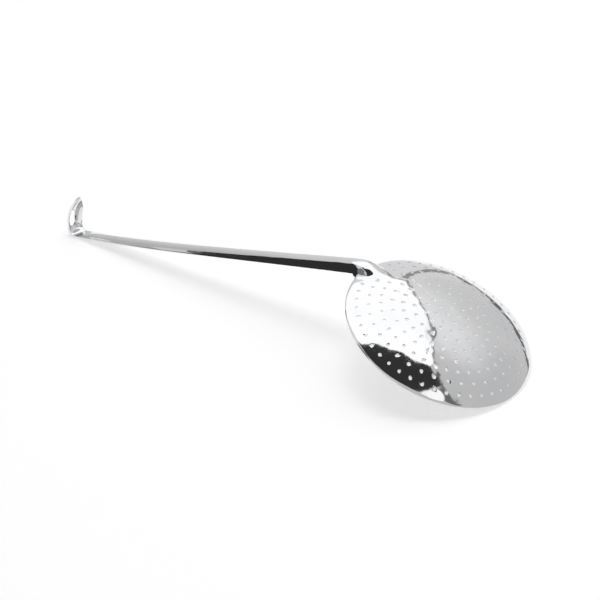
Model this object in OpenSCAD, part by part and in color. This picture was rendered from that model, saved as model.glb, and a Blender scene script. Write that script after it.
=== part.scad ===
// One-piece perforated skimmer, pressed and bent from a single steel sheet.
// It lies as it comes to rest: domed side up, on the tip of its rim and on the hook's bend.

/* [Sheet] */
// Thickness of the sheet
sheet_t = 1.5; // [1:0.1:2]

/* [Blade] */
// Diameter of the blade's rim
blade_d = 160; // [156:1:180]
// Radius of the dome's crown
crown_r = 230; // [200:5:280]
// Diameter of the crown, up to where the shoulder begins
crown_d = 88; // [70:1:100]
// Slope of the dome at its rim, in degrees
rim_slope = 31; // [28:0.5:34]

/* [Holes] */
// Diameter of each draining hole
hole_d = 2.6; // [2:0.1:3.4]
// Distance from one ring of holes to the next
ring_pitch = 9; // [8:0.1:9.2]

/* [Handle] */
// Length of the handle, from the rim to the middle of the hook's bend
handle_l = 350; // [250:1:400]
// Angle between the blade's rim plane and the handle, in degrees
handle_drop = 34; // [30:0.5:38]
// Width of the handle at the rim
neck_w = 24; // [20:0.5:28]
// Height of the handle's ridge at the rim
neck_ridge_h = 8; // [6:0.1:9]
// Height of the handle's edges above the rim, where they leave it
neck_lift = 1.4; // [0:0.1:2]
// Width of the handle at the hook
grip_w = 16; // [14:0.5:20]
// Height of the handle's ridge just before the hook
grip_ridge_h = 1.5; // [0.5:0.1:4]
// Depth that the handle sags below a straight line
handle_sag = 2; // [0:0.1:4]
// Radius of the corners between the rim and the handle
corner_r = 5; // [3:0.5:7]

/* [Hook] */
// Inside radius of the bend
bend_r = 5; // [4:0.5:8]
// Angle that the strip is bent through, in degrees
bend_angle = 93.5; // [88:0.5:100]
// Height of the hook, from the end of the bend to its tip
hook_l = 29; // [26:0.5:36]
// Width of the hook
hook_w = 17; // [15:0.5:20]
// Length of the hook's tapered tip
hook_tip_l = 15.5; // [12:0.5:17]
// Depth of the hollow across the hook
hollow_depth = 6; // [2:0.1:6.5]
// Distance that the hook's tip curls forward
tip_curl = 17.5; // [4:0.5:19]
// Width of the hanging slot
slot_w = 7.5; // [6:0.5:8.5]
// Height of the hanging slot
slot_h = 17; // [13:0.5:18]
// Height of the slot's middle above the end of the bend
slot_at = 10.5; // [10:0.5:12]

/* [Hidden] */
$fn = 64;

// Holes in each ring from the middle out, and the angle of the ring's first hole from the tip
ring_counts = [1, 6, 12, 16, 24, 24, 36, 36, 45];
ring_starts = [0, 45, 15, 8, 0, 0, 6, 8, 4];
// The outer ring leaves out the holes where the handle's ridge runs in
outer_ring = len(ring_counts) - 1;
skip_first = 21;
skip_last = 23;

// Dome: a spherical crown and a tighter shoulder that meets it without a crease
blade_r = blade_d / 2;
crown_slope = asin(crown_d / 2 / crown_r);
shoulder_r = (blade_r - crown_d / 2) / (sin(rim_slope) - sin(crown_slope));
shoulder_x = blade_r - shoulder_r * sin(rim_slope);
shoulder_z = -shoulder_r * cos(rim_slope);
crown_z = shoulder_z + (shoulder_r - crown_r) * cos(crown_slope);
function dome_slope(r) =
    r <= crown_d / 2 ? asin(r / crown_r) : asin((r - shoulder_x) / shoulder_r);
function dome_z(r) =
    r <= crown_d / 2
        ? crown_z + crown_r * cos(dome_slope(r))
        : shoulder_z + shoulder_r * cos(dome_slope(r));

// The dome's surface runs on past the rim here, for the corners beside the handle
over_r = blade_r + corner_r + 2;
under_depth = 30;

// The undersides are cut this much clear of the sheet that stays
clear = 0.15;

// Ridge: its crest leaves the handle's slope in an elbow and sinks under the dome
elbow_r = 20;
elbow_at = 6;
run_in_slope = 0;
run_in_l = 27;

// Strip: the points across it, and the steps along each stretch
across = 12;
elbow_steps = 6;
handle_steps = 10;
fade_steps = 6;
bend_steps = 10;
plate_steps = 12;
fade_l = 24;

// Places where the stretches join, as [x, z] in the middle plane
function along(a) = [-cos(a), -sin(a)];
function above(a) = [-sin(a), cos(a)];
function turn(centre, r, a) = centre + r * above(a);
rim_point = [-blade_r, 0];
function rise(s) =
    let (f = max(0, s) / handle_l)
    neck_lift * (1 - f) * (1 - f) - handle_sag * 6.75 * f * f * (1 - f);
function handle_place(s) = rim_point + s * along(handle_drop) + rise(s) * above(handle_drop);
elbow_end = handle_place(elbow_at);
elbow_centre = elbow_end - elbow_r * above(handle_drop);
run_in_end = turn(elbow_centre, elbow_r, run_in_slope);
bend_centre = rim_point + handle_l * along(handle_drop) + bend_r * above(handle_drop);
plate_angle = handle_drop - bend_angle;
plate_start = turn(bend_centre, -bend_r, plate_angle);

// A station is [point, angle, half width, crown of the section, curvature of the section]
function arc_curve(half_w, h) = 2 * h / (half_w * half_w + h * h);
function ridge_station(p, a, w, h) = [p, a, w / 2, h, arc_curve(w / 2, h)];
function mix(a, b, f) = a + (b - a) * f;
function ease(f) = f * f * (3 - 2 * f);
function handle_w(s) = mix(neck_w, grip_w, max(0, s) / handle_l);
function ridge_h(s) =
    mix(neck_ridge_h, grip_ridge_h, pow(max(0, s) / handle_l, 0.8))
    * (1 - ease(max(0, (s - handle_l + fade_l) / fade_l)));
function handle_station(s) =
    ridge_station(handle_place(s), handle_drop, handle_w(s), ridge_h(s));

// The hook is hollow across its width, and its tip curls forward over the handle
hollow_curve = -arc_curve(hook_w / 2, hollow_depth);
function tip_share(d) = max(0, (d - hook_l + hook_tip_l) / hook_tip_l);
function hollow_share(d) = ease(min(1, (d + bend_r) / (hook_l / 3)));
function plate_half_w(d) = hook_w / 2 * pow(1 - 0.97 * pow(tip_share(d), 2.7), 0.72);
function curl(d) = tip_curl * pow(d / hook_l, 2.5);
function curl_angle(d) = atan(2.5 * tip_curl / hook_l * pow(d / hook_l, 1.5));
function plate_station(d) = [
    plate_start + d * along(plate_angle) + curl(d) * above(plate_angle),
    plate_angle - curl_angle(d),
    plate_half_w(d),
    -hollow_depth * hollow_share(d),
    hollow_curve * hollow_share(d)
];

run_in_stations = [
    for (i = [0:2])
        let (p = run_in_end - (1 - i / 2) * run_in_l * along(run_in_slope))
        if (i < 2) ridge_station(p, run_in_slope, neck_w, neck_ridge_h)
];
elbow_stations = [
    for (i = [0:elbow_steps - 1])
        let (a = mix(run_in_slope, handle_drop, i / elbow_steps))
        ridge_station(turn(elbow_centre, elbow_r, a), a, neck_w, neck_ridge_h)
];
handle_stations = [
    for (i = [0:handle_steps - 1])
        handle_station(mix(elbow_at, handle_l - fade_l, i / handle_steps))
];
fade_stations = [
    for (i = [0:fade_steps - 1]) handle_station(handle_l - fade_l * (1 - i / fade_steps))
];
bend_stations = [
    for (i = [0:bend_steps - 1])
        let (f = i / bend_steps, a = handle_drop - f * bend_angle, d = -bend_r * 2 * (1 - f))
        [
            turn(bend_centre, -bend_r, a),
            a,
            mix(grip_w, hook_w, f) / 2,
            -hollow_depth * (d < -bend_r ? 0 : hollow_share(d)),
            hollow_curve * (d < -bend_r ? 0 : hollow_share(d))
        ]
];
plate_stations = [
    for (i = [0:plate_steps])
        plate_station(mix(0, hook_l, i < 4 ? i / 6 : 1 - pow((plate_steps - i) / 16, 1.6)))
];
stations = concat(
    run_in_stations, elbow_stations, handle_stations, fade_stations, bend_stations,
    plate_stations
);

// Point of a section: f runs from -1 to 1 across it, and depth is measured from the outside
function section_point(st, f, depth) =
    let (
        curve = abs(st[4]) < 0.0002 ? 0.0002 : st[4],
        a = f * asin(st[2] * curve),
        y = sin(a) / curve - depth * sin(a),
        h = st[3] - (1 - cos(a)) / curve - depth * cos(a),
        p = st[0] + h * above(st[1])
    )
    [p[0], y, p[1]];
function section_row(st, depth) =
    [for (k = [0:across]) section_point(st, 2 * k / across - 1, depth)];
function backwards(row) = [for (k = [len(row) - 1:-1:0]) row[k]];
function sheet_loop(st) = concat(section_row(st, 0), backwards(section_row(st, sheet_t)));

// Rest: the part turns until the tip of the rim and the outside of the bend lie on the floor
function dome_inside_z(r) = shoulder_z + sqrt(pow(shoulder_r - sheet_t, 2) - pow(r - shoulder_x, 2));
tip_point = [blade_r, dome_inside_z(blade_r)];
rest_reach = tip_point - bend_centre;
rest_tilt =
    atan(rest_reach[1] / rest_reach[0]) + asin((bend_r + sheet_t) / norm(rest_reach));
function rest_x(p) = p[0] * cos(rest_tilt) + p[2] * sin(rest_tilt);
floor_z = -tip_point[0] * sin(rest_tilt) + tip_point[1] * cos(rest_tilt);
slot_side_x = [
    for (d = [slot_at - slot_h / 2 : 1 : slot_at + slot_h / 2])
        let (st = plate_station(d), f = asin(slot_w / 2 * st[4]) / asin(st[2] * st[4]))
        rest_x(section_point(st, f, sheet_t))
];
function beside_slot(p) = abs(p[1]) > slot_w / 2;
back_x = min(concat(
    slot_side_x,
    [for (st = stations) for (p = sheet_loop(st)) if (beside_slot(p)) rest_x(p)]
));
front_x = blade_r * cos(rest_tilt);

module at_rest() {
    translate([-(back_x + front_x) / 2, 0, -floor_z])
        rotate([0, rest_tilt, 0])
        children();
}

// Closed solid through a list of loops that all have the same number of points
module loft(loops) {
    count = len(loops[0]);
    last = len(loops) - 1;
    function at(i, k) = i * count + k % count;
    polyhedron(
        points = [for (loop = loops) each loop],
        faces = concat(
            [[for (k = [0:count - 1]) at(0, k)]],
            [for (i = [0:last - 1]) for (k = [0:count - 1]) [at(i, k + 1), at(i, k), at(i + 1, k)]],
            [
                for (i = [0:last - 1]) for (k = [0:count - 1])
                    [at(i, k + 1), at(i + 1, k), at(i + 1, k + 1)]
            ],
            [[for (k = [count - 1:-1:0]) at(last, k)]]
        )
    );
}

// Profile of all that lies under the dome's surface, or under the same surface at a depth
module dome_region(depth) {
    join_x = (crown_r - depth) * sin(crown_slope);
    intersection() {
        translate([0, -under_depth - depth]) square([over_r + depth, 3 * under_depth]);
        union() {
            translate([shoulder_x, shoulder_z]) circle(shoulder_r - depth, $fn = 360);
            intersection() {
                translate([0, crown_z]) circle(crown_r - depth, $fn = 360);
                translate([0, -under_depth - depth]) square([join_x, 3 * under_depth]);
            }
        }
    }
}

module dome_sheet() {
    rotate_extrude($fn = 180) difference() {
        dome_region(0);
        dome_region(sheet_t);
    }
}

// What the strip is cut away from, under the dome
module dome_under() {
    rotate_extrude($fn = 180) dome_region(sheet_t + clear);
}

// The rim's circle, with a round corner on each side of the handle
module blade_outline() {
    half_w = neck_w / 2 - sheet_t / 2;
    reach = sqrt(pow(blade_r + corner_r, 2) - pow(half_w + corner_r, 2));
    circle(blade_r, $fn = 180);
    difference() {
        translate([-reach, -half_w - corner_r]) square([corner_r, 2 * (half_w + corner_r)]);
        for (side = [-1, 1])
            translate([-reach, side * (half_w + corner_r)]) circle(corner_r);
    }
}

module holes() {
    reach = 12;
    for (ring = [0:outer_ring]) {
        r = ring * ring_pitch;
        for (k = [0:ring_counts[ring] - 1])
            if (ring < outer_ring || k < skip_first || k > skip_last)
                rotate([0, 0, ring_starts[ring] + k * 360 / ring_counts[ring]])
                    translate([r, 0, dome_z(r)])
                    rotate([0, dome_slope(r), 0])
                    rotate([0, 0, 40])
                    cylinder(d = hole_d, h = reach, center = true);
    }
}

module slot() {
    reach = 30;
    straight = (slot_h - slot_w) / 2;
    place = plate_start + slot_at * along(plate_angle);
    translate([place[0], 0, place[1]])
        rotate([0, plate_angle, 180])
        translate([0, 0, -reach / 2])
        linear_extrude(reach) {
            square([2 * straight, slot_w], center = true);
            for (end = [-1, 1]) translate([end * straight, 0]) circle(d = slot_w);
        }
}

// Everything under the middle of the ridge's sheet, where the dome is cut away
module ridge_under() {
    r = 1 / arc_curve(neck_w / 2, neck_ridge_h);
    axis_r = elbow_r + neck_ridge_h - r;
    tube_r = r - sheet_t / 2;
    at_run_in = turn(elbow_centre, axis_r, run_in_slope);
    at_handle = turn(elbow_centre, axis_r, handle_drop);
    translate([at_run_in[0], 0, at_run_in[1]])
        rotate([0, 90 - run_in_slope, 0])
        cylinder(r = tube_r, h = run_in_l, $fn = 90);
    translate([elbow_centre[0], 0, elbow_centre[1]])
        rotate([90, 0, 0])
        rotate([0, 0, 90 + run_in_slope])
        rotate_extrude(angle = handle_drop - run_in_slope)
        translate([axis_r, 0])
        circle(tube_r, $fn = 90);
    translate([at_handle[0], 0, at_handle[1]])
        rotate([0, -90 - handle_drop, 0])
        cylinder(r = tube_r, h = elbow_at, $fn = 90);
}

module blade() {
    difference() {
        intersection() {
            dome_sheet();
            translate([0, 0, -under_depth]) linear_extrude(2 * under_depth) blade_outline();
        }
        ridge_under();
    }
}

module handle() {
    loft([for (st = stations) sheet_loop(st)]);
}

module skimmer() {
    color("#d4d7da") at_rest() difference() {
        union() {
            blade();
            handle();
        }
        dome_under();
        holes();
        slot();
    }
}

skimmer();
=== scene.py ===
from math import asin, atan, atan2, cos, degrees, hypot, pi, radians, sin, sqrt, tan

import bmesh
import bpy
from mathutils import Matrix, Vector


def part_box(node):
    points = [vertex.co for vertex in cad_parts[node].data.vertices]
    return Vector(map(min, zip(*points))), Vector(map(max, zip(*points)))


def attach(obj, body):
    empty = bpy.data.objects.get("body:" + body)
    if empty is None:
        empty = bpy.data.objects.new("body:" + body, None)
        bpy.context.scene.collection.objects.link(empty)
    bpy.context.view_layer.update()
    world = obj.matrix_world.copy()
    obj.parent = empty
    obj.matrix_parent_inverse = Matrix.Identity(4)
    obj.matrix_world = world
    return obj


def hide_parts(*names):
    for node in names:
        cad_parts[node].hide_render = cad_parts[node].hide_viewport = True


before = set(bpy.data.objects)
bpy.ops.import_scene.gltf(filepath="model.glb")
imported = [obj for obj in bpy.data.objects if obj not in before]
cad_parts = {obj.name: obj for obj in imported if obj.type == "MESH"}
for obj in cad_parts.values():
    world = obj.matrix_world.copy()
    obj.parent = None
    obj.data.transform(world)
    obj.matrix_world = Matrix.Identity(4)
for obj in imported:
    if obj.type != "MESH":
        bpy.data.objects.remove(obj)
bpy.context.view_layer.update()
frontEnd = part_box("skimmer")[1][0]      # how far the blade's tip reaches, in metres
mm = 0.001

# Sizes are in millimetres and degrees, and are the solid's own.
blade = {
    "diameter": 160.0,
    "crownRadius": 230.0,
    "crownDiameter": 88.0,
    "rimSlope": 31.0,
    "sheet": 1.5,
    "turns": 240,        # segments round the dome
    "crownSteps": 18,
    "shoulderSteps": 17,
}

# The sheet is shaped in the blade's own frame: its rim in the plane z = 0, its tip along +X.
bladeR = blade["diameter"] / 2
crownR = blade["crownRadius"]
crownEnd = blade["crownDiameter"] / 2
crownSlope = asin(crownEnd / crownR)
rimSlope = radians(blade["rimSlope"])
shoulderR = (bladeR - crownEnd) / (sin(rimSlope) - sin(crownSlope))
shoulderX = bladeR - shoulderR * sin(rimSlope)
shoulderZ = -shoulderR * cos(rimSlope)
crownZ = shoulderZ + (shoulderR - crownR) * cos(crownSlope)


def domeSlope(r):
    return asin(r / crownR) if r <= crownEnd else asin((r - shoulderX) / shoulderR)


def domeZ(r):
    if r <= crownEnd:
        return crownZ + crownR * cos(domeSlope(r))
    return shoulderZ + shoulderR * cos(domeSlope(r))


handle = {
    "length": 350.0,
    "drop": 34.0,        # angle below the blade's plane
    "neckWidth": 24.0,
    "neckRidge": 8.0,
    "neckLift": 1.4,     # height of its edges above the rim
    "gripWidth": 16.0,
    "gripRidge": 1.5,
    "sag": 2.0,
    "elbowRadius": 20.0,  # bend of the crest, from the handle into the run-in
    "elbowAt": 6.0,      # where the bend meets the handle
    "runInSlope": 0.0,   # of the crest over the blade
    "arcShare": 0.96,    # of the ridge's radius that is round, before its straight side
    "sideSlope": 3.4,    # of that straight side
    "softness": 3.0,     # how softly the ridge runs into the dome
    "taper": 0.8,        # below 1, the ridge sinks sooner towards the hook
    "sectorSteps": 16,   # rim edges that the handle is drawn from
    "cornerRadius": 5.84,
    "firstStation": 9.0,
    "stations": 70,
    "fade": 24.0,        # the ridge flattens over this length before the hook
}
sagPeak = 6.75           # brings the top of f * f * (1 - f) to 1
flattest = 0.0002        # curve of a section that counts as flat, per mm

drop = radians(handle["drop"])


def along(a):
    return Vector((-cos(a), 0, -sin(a)))


def above(a):
    return Vector((-sin(a), 0, cos(a)))


def handlePlace(s):      # middle of the handle, at the level of its edges
    f = max(0.0, s) / handle["length"]
    rise = handle["neckLift"] * (1 - f) ** 2 - handle["sag"] * sagPeak * f * f * (1 - f)
    return rimPoint + s * along(drop) + rise * above(drop)


rimPoint = Vector((-bladeR, 0, 0))
elbowEnd = handlePlace(handle["elbowAt"])
elbowCentre = elbowEnd - handle["elbowRadius"] * above(drop)
runIn = radians(handle["runInSlope"])
ridgeR = (handle["neckWidth"] ** 2 / 4 + handle["neckRidge"] ** 2) / (2 * handle["neckRidge"])
crestR = handle["elbowRadius"] + handle["neckRidge"]
crestEnd = elbowCentre + crestR * above(runIn)


def mix(a, b, f):
    return a + (b - a) * f


def ease(f):
    f = min(1.0, max(0.0, f))
    return f * f * (3 - 2 * f)


def softMax(a, b, width):
    h = max(width - abs(a - b), 0) / width
    return max(a, b) + h * h * width / 4


def crestHeight(x):      # top of the ridge over the blade, and its slope there
    if x >= crestEnd.x:
        return crestEnd.z + (x - crestEnd.x) * tan(runIn), runIn
    lean = min(crestR * sin(drop), elbowCentre.x - x)
    return elbowCentre.z + sqrt(crestR ** 2 - lean ** 2), asin(lean / crestR)


def ridgeZ(x, y):
    top, slope = crestHeight(x)
    inside = min(abs(y), ridgeR * handle["arcShare"])
    fall = ridgeR - sqrt(ridgeR ** 2 - inside ** 2) + handle["sideSlope"] * (abs(y) - inside)
    return top - fall / cos(slope)


def pressedZ(x, y):      # dome and ridge together
    return softMax(domeZ(hypot(x, y)), ridgeZ(x, y), handle["softness"])


def sectionPoint(place, angle, halfWidth, crown, curve, f):
    curve = curve if abs(curve) > flattest else flattest
    a = f * asin(halfWidth * curve)
    h = crown - (1 - cos(a)) / curve
    return place + h * above(angle) + Vector((0, sin(a) / curve, 0))


def arcCurve(halfWidth, h):
    return 2 * h / (halfWidth ** 2 + h ** 2)


def handlePoint(s, f):
    share = max(0.0, s) / handle["length"]
    halfWidth = mix(handle["neckWidth"], handle["gripWidth"], share) / 2
    crown = mix(handle["neckRidge"], handle["gripRidge"], share ** handle["taper"])
    crown *= 1 - ease((s - handle["length"] + handle["fade"]) / handle["fade"])
    place = handlePlace(s)
    return sectionPoint(place, drop, halfWidth, crown, arcCurve(halfWidth, crown), f)


hook = {
    "bendRadius": 5.0,
    "bendAngle": 93.5,
    "length": 29.0,      # height, from the end of the bend to the tip
    "width": 17.0,
    "tipLength": 15.5,
    "tipPoint": 0.97,    # share of the width that the tip loses
    "tipRound": (2.7, 0.72),
    "tipCurl": 17.5,     # how far the tip comes forward over the handle
    "curlPower": 2.5,    # above 1, the curl grows towards the tip
    "hollow": 6.0,
    "slotWidth": 7.5,
    "slotHeight": 17.0,
    "slotAt": 10.5,      # from the end of the bend to the slot's middle
    "slotSides": 48,
    "slotCut": 30,
    "bendSteps": 20,
    "plateSteps": 30,
}

bendCentre = rimPoint + handle["length"] * along(drop) + hook["bendRadius"] * above(drop)
plateAngle = drop - radians(hook["bendAngle"])
plateStart = bendCentre - hook["bendRadius"] * above(plateAngle)
hollowCurve = -arcCurve(hook["width"] / 2, hook["hollow"])


def hollowShare(d):
    return ease((d + hook["bendRadius"]) / (hook["length"] / 3))


def bendPoint(share, f):
    angle = drop - share * radians(hook["bendAngle"])
    d = -2 * hook["bendRadius"] * (1 - share)
    hollow = 0 if d < -hook["bendRadius"] else hollowShare(d)
    halfWidth = mix(handle["gripWidth"], hook["width"], share) / 2
    place = bendCentre - hook["bendRadius"] * above(angle)
    return sectionPoint(place, angle, halfWidth, -hook["hollow"] * hollow, hollowCurve * hollow, f)


def platePoint(d, f):    # hollow across, and curling forward to the tip
    tip = max(0.0, (d - hook["length"] + hook["tipLength"]) / hook["tipLength"])
    start, end = hook["tipRound"]
    halfWidth = hook["width"] / 2 * (1 - hook["tipPoint"] * tip ** start) ** end
    share = d / hook["length"]
    power = hook["curlPower"]
    curl = hook["tipCurl"] * share ** power
    lean = atan(power * hook["tipCurl"] / hook["length"] * share ** (power - 1))
    hollow = hollowShare(d)
    place = plateStart + d * along(plateAngle) + curl * above(plateAngle)
    return sectionPoint(place, plateAngle - lean, halfWidth, -hook["hollow"] * hollow,
                        hollowCurve * hollow, f)


# At rest the tip of the rim and the outside of the bend lie on the floor.
innerR = shoulderR - blade["sheet"]
tipPoint = Vector((bladeR, 0, shoulderZ + sqrt(innerR ** 2 - (bladeR - shoulderX) ** 2)))
reach = tipPoint - bendCentre
restTilt = atan(reach.z / reach.x) + asin((hook["bendRadius"] + blade["sheet"]) / reach.length)
restTurn = Matrix.Rotation(restTilt, 4, "Y")
frontX = bladeR * cos(restTilt) * mm
toFrame = Matrix.Translation((frontEnd - frontX, 0, -(restTurn @ tipPoint).z * mm)) \
    @ Matrix.Scale(mm, 4) @ restTurn
print("sizes ready: the blade tilts", round(degrees(restTilt), 2), "degrees")


def domeProfile(bm):
    steps = blade["crownSteps"]
    radii = [crownEnd * i / steps for i in range(steps + 1)]
    steps = blade["shoulderSteps"]
    radii += [mix(crownEnd, bladeR, (i + 1) / steps) for i in range(steps)]
    verts = [bm.verts.new((r, 0, domeZ(r))) for r in radii]
    return verts + [bm.edges.new(ends) for ends in zip(verts, verts[1:])]


def spinDome(bm):
    bmesh.ops.spin(bm, geom=domeProfile(bm), cent=(0, 0, 0), axis=(0, 0, 1),
                   angle=2 * pi, steps=blade["turns"], use_merge=True)
    bmesh.ops.remove_doubles(bm, verts=bm.verts, dist=0.01)


sector = handle["sectorSteps"] / 2 * 2 * pi / blade["turns"]     # half of the rim's arc there


def neckEdges(bm):
    def atNeck(vert):
        onRim = abs(hypot(vert.co.x, vert.co.y) - bladeR) < 0.05
        return onRim and abs(abs(atan2(vert.co.y, vert.co.x)) - pi) < sector + 0.001

    return [e for e in bm.edges if e.is_boundary and all(atNeck(v) for v in e.verts)]


def extrudeTo(bm, edges, pointAt):
    made = bmesh.ops.extrude_edge_only(bm, edges=edges)["geom"]
    verts = sorted((g for g in made if isinstance(g, bmesh.types.BMVert)), key=lambda v: v.co.y)
    last = len(verts) - 1
    for i, vert in enumerate(verts):
        vert.co = pointAt(2 * i / last - 1)
    return [g for g in made if isinstance(g, bmesh.types.BMEdge)
            and all(v in verts for v in g.verts)]


neck = {
    "rows": 4,           # rows of faces round the corners
    "length": 7.0,       # that they take along the handle
    "pastCorner": 1.5,   # how far they reach beyond the round corner
    "pressedFrom": -40,  # the ridge is pressed into the dome from this x
    "softBack": 22,      # smoothed from here behind the rim
    "softFront": 4,      # to here in front of it
    "softSide": 17,      # and this far to each side
    "softPasses": 3,
}


def neckPoint(s, f):     # from the rim's arc to the handle's section, past the round corner
    cornerR = handle["cornerRadius"]
    cornerY = handle["neckWidth"] / 2 + cornerR
    cornerX = -sqrt((bladeR + cornerR) ** 2 - cornerY ** 2)
    share = s / neck["length"]
    x = mix(-bladeR * cos(sector * f), cornerX - neck["pastCorner"], share)
    if abs(f) > 0.99:    # the edge itself follows the corner
        side = cornerY - sqrt(max(0, cornerR ** 2 - (max(x, cornerX) - cornerX) ** 2))
        y = side * (1 if f > 0 else -1)
    else:
        y = mix(bladeR * sin(sector * f), handlePoint(s + 2, f).y, ease(share))
    return Vector((x, y, pressedZ(x, y)))


def drawHandle(bm):
    edges = neckEdges(bm)
    print("the handle is drawn from", len(edges), "edges of the rim")
    for i in range(1, neck["rows"]):
        s = neck["length"] * i / neck["rows"]
        edges = extrudeTo(bm, edges, lambda f, s=s: neckPoint(s, f))
    for i in range(handle["stations"] + 1):      # closer together near the blade
        s = mix(handle["firstStation"], handle["length"], (i / handle["stations"]) ** 1.15)
        edges = extrudeTo(bm, edges, lambda f, s=s: handlePoint(s, f))
    for i in range(1, hook["bendSteps"] + 1):
        edges = extrudeTo(bm, edges, lambda f, share=i / hook["bendSteps"]: bendPoint(share, f))
    for i in range(1, hook["plateSteps"] + 1):
        d = hook["length"] * (1 - (1 - i / hook["plateSteps"]) ** 1.5)
        edges = extrudeTo(bm, edges, lambda f, d=d: platePoint(d, f))


def pressRidge(bm):
    for vert in bm.verts:
        r = hypot(vert.co.x, vert.co.y)
        if r <= bladeR + 0.05 and vert.co.x < neck["pressedFrom"]:
            vert.co.z = pressedZ(vert.co.x, vert.co.y)


def softenNeck(bm):
    back, front = -bladeR - neck["softBack"], -bladeR + neck["softFront"]
    near = [v for v in bm.verts if back < v.co.x < front and abs(v.co.y) < neck["softSide"]
            and not v.is_boundary]
    for _ in range(neck["softPasses"]):
        bmesh.ops.smooth_vert(bm, verts=near, factor=0.5, use_axis_x=True, use_axis_y=True,
                              use_axis_z=True)


def newObject(name, bm):     # with its faces sorted, so that each run cuts them alike
    mesh = bpy.data.meshes.new(name)
    bm.verts.index_update()
    rings = [[v.index for v in face.verts] for face in bm.faces]
    mesh.from_pydata([v.co for v in bm.verts], [], sorted(rings, key=sorted))
    bm.free()
    obj = bpy.data.objects.new(name, mesh)
    bpy.context.scene.collection.objects.link(obj)
    return obj


def makeSheet():
    bm = bmesh.new()
    spinDome(bm)
    drawHandle(bm)
    pressRidge(bm)
    softenNeck(bm)
    bmesh.ops.recalc_face_normals(bm, faces=bm.faces)
    if sum(f.normal.z for f in bm.faces) < 0:
        bmesh.ops.reverse_faces(bm, faces=bm.faces)
    bmesh.ops.transform(bm, matrix=toFrame, verts=bm.verts)
    return newObject("skimmerSheet", bm)


holes = {
    "diameter": 2.6,
    "pitch": 9.0,
    "counts": [1, 6, 12, 16, 24, 24, 36, 36, 45],
    "starts": [0, 45, 15, 8, 0, 0, 6, 8, 4],
    "skipped": [21, 22, 23],   # of the outer ring, where the ridge runs in
    "sides": 20,
    "cutDepth": 12,
    "punchedRound": 0.22,      # edge left by the punch
}


def makeCutters():
    bm = bmesh.new()
    for ring, (count, start) in enumerate(zip(holes["counts"], holes["starts"])):
        r = ring * holes["pitch"]
        for k in range(count):
            if ring == len(holes["counts"]) - 1 and k in holes["skipped"]:
                continue
            place = Matrix.Rotation(radians(start + 360 * k / count), 4, "Z") \
                @ Matrix.Translation((r, 0, domeZ(r))) @ Matrix.Rotation(domeSlope(r), 4, "Y")
            bmesh.ops.create_cone(bm, cap_ends=True, segments=holes["sides"],
                                  radius1=holes["diameter"] / 2, radius2=holes["diameter"] / 2,
                                  depth=holes["cutDepth"], matrix=toFrame @ place)
    place = plateStart + hook["slotAt"] * along(plateAngle)
    turn = Matrix.Translation(place) @ Matrix.Rotation(pi, 4, "Z") \
        @ Matrix.Rotation(plateAngle, 4, "Y")
    slot = bmesh.ops.create_circle(bm, cap_ends=True, segments=hook["slotSides"],
                                   radius=hook["slotWidth"] / 2)["verts"]
    straight = (hook["slotHeight"] - hook["slotWidth"]) / 2
    for vert in slot:
        vert.co.x += straight if vert.co.x > 0.001 else -straight if vert.co.x < -0.001 else 0
        vert.co.z = -hook["slotCut"] / 2
    tall = bmesh.ops.extrude_face_region(bm, geom=[slot[0].link_faces[0]])["geom"]
    top = [g for g in tall if isinstance(g, bmesh.types.BMVert)]
    bmesh.ops.translate(bm, vec=(0, 0, hook["slotCut"]), verts=top)
    bmesh.ops.transform(bm, matrix=toFrame @ turn, verts=slot + top)
    bmesh.ops.recalc_face_normals(bm, faces=bm.faces)
    return newObject("cutters", bm)


def finishMesh(obj, cutters):
    wall = obj.modifiers.new("wall", "SOLIDIFY")
    wall.thickness = blade["sheet"] * mm
    wall.offset = -1
    wall.use_even_offset = True
    cut = obj.modifiers.new("cut", "BOOLEAN")
    cut.operation = "DIFFERENCE"
    cut.solver = "EXACT"
    cut.object = cutters
    edge = obj.modifiers.new("edge", "BEVEL")
    edge.width = holes["punchedRound"] * mm
    edge.segments = 2
    edge.limit_method = "ANGLE"
    edge.angle_limit = radians(50)
    edge.harden_normals = False
    graph = bpy.context.evaluated_depsgraph_get()
    done = bpy.data.meshes.new_from_object(obj.evaluated_get(graph))
    obj.modifiers.clear()
    obj.data = done
    bpy.data.objects.remove(cutters)
    done.shade_smooth()
    print("the sheet has", len(done.polygons), "faces and",
          sum(len(p.vertices) - 2 for p in done.polygons), "triangles")


sheet = makeSheet()
finishMesh(sheet, makeCutters())
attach(sheet, "root")
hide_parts("skimmer")


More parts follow.
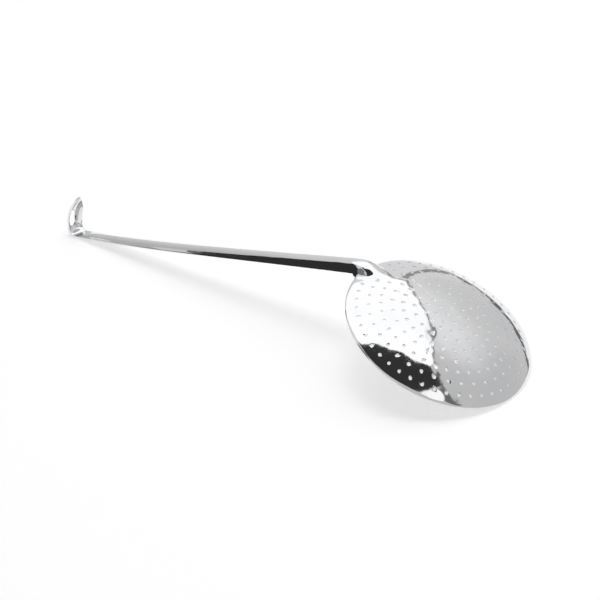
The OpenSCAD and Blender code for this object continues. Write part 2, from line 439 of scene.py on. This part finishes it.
# Marks that hand polishing leaves: slow waves that bend a reflection, and fine lines.
def makePolishMarks():
    group = bpy.data.node_groups.new("polishMarks", "ShaderNodeTree")
    sockets = group.interface
    sockets.new_socket(name="Vector", in_out="INPUT", socket_type="NodeSocketVector")
    sockets.new_socket(name="Wave Scale", in_out="INPUT", socket_type="NodeSocketFloat")
    sockets.new_socket(name="Line Scale", in_out="INPUT", socket_type="NodeSocketFloat")
    sockets.new_socket(name="Waves", in_out="OUTPUT", socket_type="NodeSocketFloat")
    sockets.new_socket(name="Lines", in_out="OUTPUT", socket_type="NodeSocketFloat")
    sockets.new_socket(name="Cloud", in_out="OUTPUT", socket_type="NodeSocketFloat")
    nodes, links = group.nodes, group.links
    given = nodes.new("NodeGroupInput")
    made = nodes.new("NodeGroupOutput")

    waves = nodes.new("ShaderNodeTexNoise")
    waves.inputs["Detail"].default_value = 1.5
    waves.inputs["Roughness"].default_value = 0.45
    links.new(given.outputs["Vector"], waves.inputs["Vector"])
    links.new(given.outputs["Wave Scale"], waves.inputs["Scale"])

    stretch = nodes.new("ShaderNodeMapping")     # lines run along the handle
    stretch.inputs["Scale"].default_value = (0.06, 1, 1)
    lines = nodes.new("ShaderNodeTexNoise")
    lines.inputs["Detail"].default_value = 3
    links.new(given.outputs["Vector"], stretch.inputs["Vector"])
    links.new(stretch.outputs["Vector"], lines.inputs["Vector"])
    links.new(given.outputs["Line Scale"], lines.inputs["Scale"])

    cloud = nodes.new("ShaderNodeTexNoise")
    cloud.inputs["Scale"].default_value = 22
    cloud.inputs["Detail"].default_value = 4
    links.new(given.outputs["Vector"], cloud.inputs["Vector"])

    links.new(waves.outputs["Fac"], made.inputs["Waves"])
    links.new(lines.outputs["Fac"], made.inputs["Lines"])
    links.new(cloud.outputs["Fac"], made.inputs["Cloud"])
    return group


steel = {
    "bright": (0.83, 0.832, 0.84),
    "dull": (0.77, 0.775, 0.79),
    "smoothest": 0.035,
    "roughest": 0.10,
    "waveScale": 62,         # waves per metre, about
    "waveHeight": 0.00035,   # metres
    "calm": 0.2,             # share of that height on the handle
    "calmTo": -0.03,         # x in metres, where the handle's calm ends
    "wavyFrom": 0.02,        # and where the full waves begin
    "lineScale": 1500,
    "lineHeight": 0.0000012,
}


def makeSteel():
    material = bpy.data.materials.new("polishedSteel")
    material.use_nodes = True
    nodes, links = material.node_tree.nodes, material.node_tree.links
    shader = nodes["Principled BSDF"]
    shader.inputs["Metallic"].default_value = 1.0
    place = nodes.new("ShaderNodeTexCoord")
    marks = nodes.new("ShaderNodeGroup")
    marks.node_tree = makePolishMarks()
    marks.inputs["Wave Scale"].default_value = steel["waveScale"]
    marks.inputs["Line Scale"].default_value = steel["lineScale"]
    links.new(place.outputs["Object"], marks.inputs["Vector"])

    tone = nodes.new("ShaderNodeValToRGB")
    tone.color_ramp.elements[0].position = 0.3
    tone.color_ramp.elements[0].color = (*steel["dull"], 1)
    tone.color_ramp.elements[1].position = 0.62
    tone.color_ramp.elements[1].color = (*steel["bright"], 1)
    links.new(marks.outputs["Cloud"], tone.inputs["Fac"])
    links.new(tone.outputs["Color"], shader.inputs["Base Color"])

    polish = nodes.new("ShaderNodeMapRange")
    polish.inputs["From Min"].default_value = 0.3
    polish.inputs["From Max"].default_value = 0.7
    polish.inputs["To Min"].default_value = steel["smoothest"]
    polish.inputs["To Max"].default_value = steel["roughest"]
    links.new(marks.outputs["Lines"], polish.inputs["Value"])
    links.new(polish.outputs["Result"], shader.inputs["Roughness"])

    split = nodes.new("ShaderNodeSeparateXYZ")
    calm = nodes.new("ShaderNodeMapRange")       # the handle is smoother than the blade
    calm.inputs["From Min"].default_value = steel["calmTo"]
    calm.inputs["From Max"].default_value = steel["wavyFrom"]
    calm.inputs["To Min"].default_value = steel["calm"]
    wavy = nodes.new("ShaderNodeMath")
    wavy.operation = "MULTIPLY"
    links.new(place.outputs["Object"], split.inputs["Vector"])
    links.new(split.outputs["X"], calm.inputs["Value"])
    links.new(marks.outputs["Waves"], wavy.inputs[0])
    links.new(calm.outputs["Result"], wavy.inputs[1])

    waves = nodes.new("ShaderNodeBump")
    waves.inputs["Distance"].default_value = steel["waveHeight"]
    lines = nodes.new("ShaderNodeBump")
    lines.inputs["Distance"].default_value = steel["lineHeight"]
    links.new(wavy.outputs["Value"], waves.inputs["Height"])
    links.new(marks.outputs["Lines"], lines.inputs["Height"])
    links.new(waves.outputs["Normal"], lines.inputs["Normal"])
    links.new(lines.outputs["Normal"], shader.inputs["Normal"])
    return material


sheet.data.materials.clear()
sheet.data.materials.append(makeSteel())
print("steel made")


studio = {
    "floorColour": 0.80,
    "floorSize": 8,           # metres each way
    "floorLift": 0.38,        # added where the floor is seen, so that it is white
    # grey tent: brightness from the hook's end (0) round to the blade's (1)
    "tent": [(0.03, 0.48), (0.08, 0.49), (0.10, 0.61), (0.13, 0.71), (0.20, 0.80), (0.30, 0.79),
             (0.44, 0.68), (0.60, 0.66), (0.75, 0.60), (0.90, 0.58)],
    "tentRadius": 30,
    "tentGlow": 0.30,         # more, high up behind the blade
    "glowUp": (0.45, 0.85),   # from and to, in z of the direction
    "glowBack": (0.40, 0.68),  # and in y
    "overhead": 9,            # watts, softens the shadow on the floor
    "overheadSize": 1.1,
    "overheadPlace": (0.05, 0.05, 2.2),
    "distance": 3.0,
    "aim": (0.177, 0, 0.04),  # metres: the middle of the blade, where the cards are aimed
    # a dark line under the softbox's edge: azimuth, elevation and width, with a notch
    "border": (0.22, [(37, 60, 1.3), (66, 57, 1.3), (71, 56, 1.3), (72, 55.8, 3.6),
                      (76, 54.9, 3.2), (77, 54.6, 1.3), (83, 53, 1.3), (101, 43, 1.3),
                      (109, 36, 1.3), (122, 33, 1.3)]),
    # a small card over the hook, which the plate behind the bend shows: place and half its side
    "hookCard": (0.66, (-0.222, -0.027, 0.10), 0.03),
}

# Each card: brightness, and its corners as (azimuth, elevation) seen from the skimmer.
cards = {
    "softbox": (1.25, [(27, 62), (37, 60), (66, 57), (83, 53), (101, 43), (109, 36), (122, 33),
                       (136, 34), (152, 38), (168, 46), (184, 60), (205, 72), (212, 76),
                       (90, 87)]),
    "flag": (0.035, [(27, 61.5), (20, 57), (9, 51.5), (-5, 53), (-14, 54), (-29, 57), (-60, 60),
                     (-85, 66), (-110, 68), (-135, 70), (-148, 72), (-148, 76), (90, 87.5)]),
    "sideFlag": (0.03, [(168, 46), (171, 36), (176, 31.1), (190, 29.9), (194, 25), (197, 5),
                        (236, 5), (240, 30), (222, 54), (200, 52)]),
    "edgeLine": (0.14, [(64, -0.6), (64, 1.6), (107, 4.3), (108, 0)]),
    "stand": (0.30, [(108, 2), (110.5, 2), (113.5, 31), (110.5, 32)]),
    "strip": (1.15, [(1, 51), (0, 45), (-8, 41), (-18, 42), (-16, 53), (-6, 52.5)]),
    "wedge": (0.15, [(9, 51.5), (8, 44), (5, 34), (2, 27), (-5, 29), (-4, 36), (0, 45),
                     (1, 51)]),
    "neckShade": (0.20, [(240, 30), (222, 54), (226, 64), (247, 67), (253, 60), (250, 30)]),
}


def glowingMaterial(name):
    material = bpy.data.materials.new(name + "Glow")
    material.use_nodes = True
    nodes, links = material.node_tree.nodes, material.node_tree.links
    nodes.remove(nodes["Principled BSDF"])
    emission = nodes.new("ShaderNodeEmission")
    links.new(emission.outputs["Emission"], nodes["Material Output"].inputs["Surface"])
    return material, emission


def seenRays(nodes, links):      # 1 for the camera, and for what metal or glass shows
    path = nodes.new("ShaderNodeLightPath")
    seen = path.outputs["Is Camera Ray"]
    for kind in ("Is Glossy Ray", "Is Transmission Ray"):
        either = nodes.new("ShaderNodeMath")
        either.operation = "MAXIMUM"
        links.new(seen, either.inputs[0])
        links.new(path.outputs[kind], either.inputs[1])
        seen = either.outputs["Value"]
    return seen


def hangCard(name, bm, strength):
    obj = newObject(name, bm)
    material, emission = glowingMaterial(name)
    emission.inputs["Strength"].default_value = strength
    obj.data.materials.append(material)
    obj.visible_camera = False
    return obj


def cardPoint(azimuth, elevation):
    a, e = radians(azimuth), radians(elevation)
    direction = Vector((cos(a) * cos(e), sin(a) * cos(e), sin(e)))
    return direction * studio["distance"] + Vector(studio["aim"])


def makeCards():
    for name, (strength, corners) in cards.items():
        bm = bmesh.new()
        verts = [bm.verts.new(cardPoint(*corner)) for corner in corners]
        bmesh.ops.contextual_create(bm, geom=verts)
        bmesh.ops.triangulate(bm, faces=bm.faces)
        hangCard(name, bm, strength)


def makeBorder():
    strength, corners = studio["border"]
    bm = bmesh.new()
    rows = [[bm.verts.new(cardPoint(azimuth, elevation - down)) for down in (0, width)]
            for azimuth, elevation, width in corners]
    for row, following in zip(rows, rows[1:]):
        bmesh.ops.contextual_create(bm, geom=row + following)
    hangCard("border", bm, strength)


def makeHookCard():
    strength, place, halfSize = studio["hookCard"]
    bm = bmesh.new()
    bmesh.ops.create_grid(bm, x_segments=1, y_segments=1, size=halfSize)
    bmesh.ops.translate(bm, verts=bm.verts, vec=place)
    card = hangCard("hookCard", bm, strength)
    card.visible_shadow = False      # it neither shades nor lights the floor
    card.visible_diffuse = False


def makeFloor():
    bm = bmesh.new()
    bmesh.ops.create_grid(bm, x_segments=1, y_segments=1, size=studio["floorSize"])
    obj = newObject("floor", bm)
    material = bpy.data.materials.new("floorWhite")
    material.use_nodes = True
    nodes, links = material.node_tree.nodes, material.node_tree.links
    shader = nodes["Principled BSDF"]
    grey = studio["floorColour"]
    shader.inputs["Base Color"].default_value = (grey, grey, grey, 1)
    shader.inputs["Roughness"].default_value = 0.9
    shader.inputs["Specular IOR Level"].default_value = 0.1
    shader.inputs["Emission Color"].default_value = (1, 1, 1, 1)
    lift = nodes.new("ShaderNodeMath")
    lift.operation = "MULTIPLY"
    lift.inputs[1].default_value = studio["floorLift"]
    links.new(seenRays(nodes, links), lift.inputs[0])
    links.new(lift.outputs["Value"], shader.inputs["Emission Strength"])
    obj.data.materials.append(material)


def softStep(nodes, fromTo):
    step = nodes.new("ShaderNodeMapRange")
    step.interpolation_type = "SMOOTHSTEP"
    step.inputs["From Min"].default_value, step.inputs["From Max"].default_value = fromTo
    return step


def makeTent():          # pale cloth all round, which the metal shows
    bm = bmesh.new()
    bmesh.ops.create_icosphere(bm, subdivisions=3, radius=studio["tentRadius"])
    obj = newObject("tent", bm)
    material, emission = glowingMaterial("tent")
    nodes, links = material.node_tree.nodes, material.node_tree.links
    place = nodes.new("ShaderNodeTexCoord")
    direction = nodes.new("ShaderNodeVectorMath")
    direction.operation = "NORMALIZE"
    split = nodes.new("ShaderNodeSeparateXYZ")
    turned = nodes.new("ShaderNodeMapRange")
    turned.inputs["From Min"].default_value = -1
    shade = nodes.new("ShaderNodeValToRGB")
    shade.color_ramp.interpolation = "EASE"
    while len(shade.color_ramp.elements) < len(studio["tent"]):
        shade.color_ramp.elements.new(0.5)
    for stop, (position, grey) in zip(shade.color_ramp.elements, studio["tent"]):
        stop.position = position
        stop.color = (grey, grey, grey, 1)
    high = softStep(nodes, studio["glowUp"])
    behind = softStep(nodes, studio["glowBack"])
    behind.inputs["To Max"].default_value = studio["tentGlow"]
    glowing = nodes.new("ShaderNodeMath")
    glowing.operation = "MULTIPLY_ADD"
    links.new(place.outputs["Object"], direction.inputs[0])
    links.new(direction.outputs["Vector"], split.inputs["Vector"])
    links.new(split.outputs["X"], turned.inputs["Value"])
    links.new(turned.outputs["Result"], shade.inputs["Fac"])
    links.new(split.outputs["Z"], high.inputs["Value"])
    links.new(split.outputs["Y"], behind.inputs["Value"])
    links.new(high.outputs["Result"], glowing.inputs[0])
    links.new(behind.outputs["Result"], glowing.inputs[1])
    links.new(shade.outputs["Color"], glowing.inputs[2])
    links.new(glowing.outputs["Value"], emission.inputs["Strength"])
    obj.data.materials.append(material)
    obj.visible_camera = False


def makeWorld():         # the white background
    world = bpy.data.worlds.new("studio")
    bpy.context.scene.world = world
    world.use_nodes = True
    nodes, links = world.node_tree.nodes, world.node_tree.links
    nodes["Background"].inputs["Color"].default_value = (1, 1, 1, 1)
    links.new(seenRays(nodes, links), nodes["Background"].inputs["Strength"])


def makeOverhead():      # for the floor alone: the metal doesn't show it
    lamp = bpy.data.lights.new("overhead", "AREA")
    lamp.energy = studio["overhead"]
    lamp.size = studio["overheadSize"]
    obj = bpy.data.objects.new("overhead", lamp)
    obj.location = studio["overheadPlace"]
    obj.visible_glossy = False
    bpy.context.scene.collection.objects.link(obj)


camera = {
    "place": (0.6017, -0.7233, 0.5276),   # metres
    "azimuth": 37.965,
    "elevation": 29.191,
    "roll": -1.158,
    "lens": 72.15,
}


def makeCamera():
    data = bpy.data.cameras.new("camera")
    data.lens = camera["lens"]
    data.sensor_width = 36
    obj = bpy.data.objects.new("camera", data)
    bpy.context.scene.collection.objects.link(obj)
    obj.matrix_world = Matrix.Translation(camera["place"]) \
        @ Matrix.Rotation(radians(camera["azimuth"]), 4, "Z") \
        @ Matrix.Rotation(pi / 2 - radians(camera["elevation"]), 4, "X") \
        @ Matrix.Rotation(radians(camera["roll"]), 4, "Z")
    bpy.context.scene.camera = obj


makeFloor()
makeTent()
makeWorld()
makeOverhead()
makeCards()
makeBorder()
makeHookCard()
makeCamera()
bpy.context.scene.view_settings.view_transform = "Standard"
print("floor, light and camera made")
